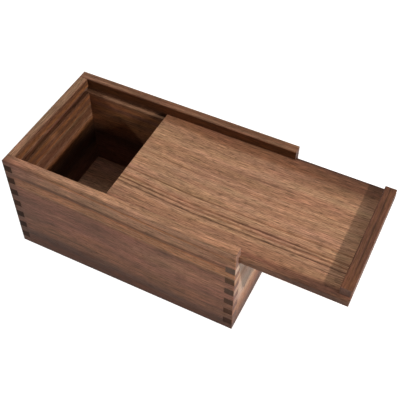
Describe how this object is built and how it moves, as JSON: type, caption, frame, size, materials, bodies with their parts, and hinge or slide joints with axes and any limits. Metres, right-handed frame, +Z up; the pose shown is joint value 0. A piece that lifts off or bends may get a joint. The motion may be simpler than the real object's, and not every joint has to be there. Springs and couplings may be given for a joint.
{
  "type": "sliding lid box",
  "caption": "Rectangular finger-jointed wooden box, open at the top, with a panel lid that slides in grooves out over the lower front end.",
  "frame": {"origin": "centre of the box's underside, in the plane that the box stands on", "axes": "+X along the box towards the lower front end and the way the lid opens, +Y across the box towards the far side wall, +Z up"},
  "size_m": [0.338, 0.1424, 0.12],
  "materials": {
    "side_walnut": "oiled, long grain along the box",
    "end_walnut": "oiled, long grain across the box, dark end grain at the fingers",
    "bottom_walnut": "oiled",
    "lid_walnut": "oiled, close dark streaks along the lid",
    "pull_walnut": "oiled, grain across the lid"
  },
  "bodies": {
    "box": {"near_side": "side_walnut", "far_side": "side_walnut", "back_end": "end_walnut", "front_end": "end_walnut", "bottom_panel": "bottom_walnut"},
    "lid": {"lid_panel": "lid_walnut", "lid_pull": "pull_walnut"}
  },
  "joints": [
    {"name": "lid_slide", "type": "slide", "parent": "box", "child": "lid", "axis": [1, 0, 0], "range_m": [-0.0965, 0.14]}
  ]
}
